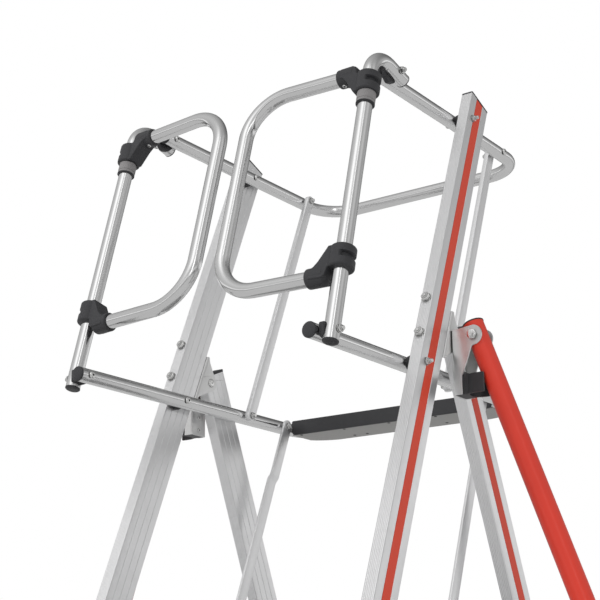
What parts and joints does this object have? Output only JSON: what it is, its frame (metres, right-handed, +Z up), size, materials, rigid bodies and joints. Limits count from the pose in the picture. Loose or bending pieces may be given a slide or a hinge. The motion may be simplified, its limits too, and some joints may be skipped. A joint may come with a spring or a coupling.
{
  "type": "rolling step ladder",
  "caption": "Aluminium platform step ladder with a folding two-rail guard, self-closing gates, a tool tray, transport wheels and telescopic side stabilisers.",
  "frame": {"origin": "on the floor under the middle of the footprint", "axes": "+Z up; +Y from the climbing side towards the rear legs; +X to the climber's right"},
  "size_m": [2.4376, 2.1618, 2.8646],
  "materials": {
    "aluminium": "satin, drawn along the section",
    "deck_frame": "satin, darker",
    "steel": "zinc plated",
    "black_plastic": "moulded, fine grain",
    "grey_plastic": "moulded, grey",
    "red_paint": "powder coat, satin",
    "tyre": "solid tyre",
    "rubber": "moulded, ribbed"
  },
  "bodies": {
    "front_frame": {"stile_left": "aluminium", "stile_right": "aluminium", "stile_caps": "black_plastic", "front_shoes": "rubber", "tread_1": "aluminium", "tread_2": "aluminium", "tread_3": "aluminium", "tread_4": "aluminium", "tread_5": "aluminium", "tread_6": "aluminium", "hinge_brackets": "steel", "hinge_bolts": "steel", "rail_pivot_bolts": "steel", "platform_pivot_bolts": "steel"},
    "platform": {"platform_frame": "deck_frame", "platform_deck": "aluminium"},
    "knee_guard": {"knee_rail": "aluminium", "knee_rail_caps": "black_plastic", "knee_rail_saddles": "black_plastic", "knee_rail_bolts": "steel", "tool_tray": "deck_frame", "tray_front": "black_plastic"},
    "hand_guard": {"hand_rail": "aluminium", "hand_rail_saddles": "black_plastic", "hand_rail_bolts": "steel"},
    "upper_links": {"upper_links": "aluminium"},
    "lower_links": {"lower_links": "aluminium"},
    "gate_posts": {"gate_post_left": "aluminium", "gate_post_right": "aluminium", "post_caps": "black_plastic", "post_saddles": "black_plastic", "post_bolts": "steel", "spring_collars": "grey_plastic"},
    "left_gate": {"gate_left": "aluminium", "gate_left_clamps": "black_plastic"},
    "right_gate": {"gate_right": "aluminium", "gate_right_clamps": "black_plastic"},
    "rear_frame": {"rear_leg_left": "aluminium", "rear_leg_right": "aluminium", "rear_leg_caps": "black_plastic", "rear_shoes": "rubber", "rear_bars": "aluminium", "rear_braces": "aluminium", "wheel_forks": "steel", "stabiliser_brackets": "steel", "stabiliser_clips": "black_plastic", "clip_rivets": "steel", "stabiliser_bolts": "steel"},
    "left_wheel": {"wheel_left_tyre": "tyre", "wheel_left_hub": "grey_plastic"},
    "right_wheel": {"wheel_right_tyre": "tyre", "wheel_right_hub": "grey_plastic"},
    "left_stabiliser": {"stabiliser_tube_left": "red_paint", "stabiliser_fittings_left": "black_plastic"},
    "right_stabiliser": {"stabiliser_tube_right": "red_paint", "stabiliser_fittings_right": "black_plastic"},
    "left_stabiliser_leg": {"stabiliser_leg_left": "aluminium"},
    "right_stabiliser_leg": {"stabiliser_leg_right": "aluminium"},
    "left_foot": {"stabiliser_foot_left": "steel"},
    "right_foot": {"stabiliser_foot_right": "steel"}
  },
  "joints": [
    {"name": "platform_fold", "type": "hinge", "parent": "front_frame", "child": "platform", "pos_m": [0, -0.38039, 1.669], "axis": [1, 0, 0], "range_deg": [0, 55]},
    {"name": "knee_rail_fold", "type": "hinge", "parent": "front_frame", "child": "knee_guard", "pos_m": [0, -0.16586, 2.2], "axis": [1, 0, 0], "range_deg": [0, 55]},
    {"name": "hand_rail_fold", "type": "hinge", "parent": "front_frame", "child": "hand_guard", "pos_m": [0, 0.07494, 2.796], "axis": [1, 0, 0], "range_deg": [0, 55]},
    {"name": "upper_links_fold", "type": "hinge", "parent": "knee_guard", "child": "upper_links", "pos_m": [0, 0.04464, 2.2], "axis": [1, 0, 0], "range_deg": [-55, 0]},
    {"name": "lower_links_fold", "type": "hinge", "parent": "knee_guard", "child": "lower_links", "pos_m": [0, 0.19115, 2.2], "axis": [1, 0, 0], "range_deg": [-55, 0]},
    {"name": "gate_posts_fold", "type": "hinge", "parent": "knee_guard", "child": "gate_posts", "pos_m": [0, -0.46386, 2.2], "axis": [1, 0, 0], "range_deg": [-55, 0]},
    {"name": "rear_frame_fold", "type": "hinge", "parent": "front_frame", "child": "rear_frame", "pos_m": [0, -0.04641, 2.26553], "axis": [-1, 0, 0], "range_deg": [0, 36]},
    {"name": "left_gate_swing", "type": "hinge", "parent": "gate_posts", "child": "left_gate", "pos_m": [-0.3144, -0.46386, 2.2], "axis": [0, -0.2514, -0.9679], "range_deg": [-78, 0], "stiffness_Nm_per_rad": 0.8, "springref_deg": 68.75},
    {"name": "right_gate_swing", "type": "hinge", "parent": "gate_posts", "child": "right_gate", "pos_m": [0.3144, -0.46386, 2.2], "axis": [0, 0.2514, 0.9679], "range_deg": [-78, 0], "stiffness_Nm_per_rad": 0.8, "springref_deg": 68.75},
    {"name": "left_wheel_spin", "type": "hinge", "parent": "rear_frame", "child": "left_wheel", "pos_m": [-0.31705, 1.01843, 0.0685], "axis": [1, 0, 0], "continuous": true},
    {"name": "right_wheel_spin", "type": "hinge", "parent": "rear_frame", "child": "right_wheel", "pos_m": [0.31705, 1.01843, 0.0685], "axis": [1, 0, 0], "continuous": true},
    {"name": "left_stabiliser_swing", "type": "hinge", "parent": "rear_frame", "child": "left_stabiliser", "pos_m": [-0.382, -0.04641, 2.26553], "axis": [0, -1, 0], "range_deg": [0, 19.6]},
    {"name": "right_stabiliser_swing", "type": "hinge", "parent": "rear_frame", "child": "right_stabiliser", "pos_m": [0.382, -0.04641, 2.26553], "axis": [0, 1, 0], "range_deg": [0, 19.6]},
    {"name": "left_leg_slide", "type": "slide", "parent": "left_stabiliser", "child": "left_stabiliser_leg", "axis": [0.3355, 0, 0.9421], "range_m": [0, 0.3]},
    {"name": "right_leg_slide", "type": "slide", "parent": "right_stabiliser", "child": "right_stabiliser_leg", "axis": [-0.3355, 0, 0.9421], "range_m": [0, 0.3]},
    {"name": "left_foot_swivel", "type": "hinge", "parent": "left_stabiliser_leg", "child": "left_foot", "pos_m": [-1.17376, -0.04641, 0.042], "axis": [0, 1, 0], "range_deg": [-25, 25]},
    {"name": "right_foot_swivel", "type": "hinge", "parent": "right_stabiliser_leg", "child": "right_foot", "pos_m": [1.17376, -0.04641, 0.042], "axis": [0, -1, 0], "range_deg": [-25, 25]}
  ],
  "couplings": [
    {"joint": "knee_rail_fold", "follows": "platform_fold", "ratio": 1},
    {"joint": "hand_rail_fold", "follows": "platform_fold", "ratio": 1},
    {"joint": "upper_links_fold", "follows": "platform_fold", "ratio": -1},
    {"joint": "lower_links_fold", "follows": "platform_fold", "ratio": -1},
    {"joint": "gate_posts_fold", "follows": "platform_fold", "ratio": -1},
    {"joint": "rear_frame_fold", "follows": "platform_fold", "ratio": 0.65455}
  ]
}
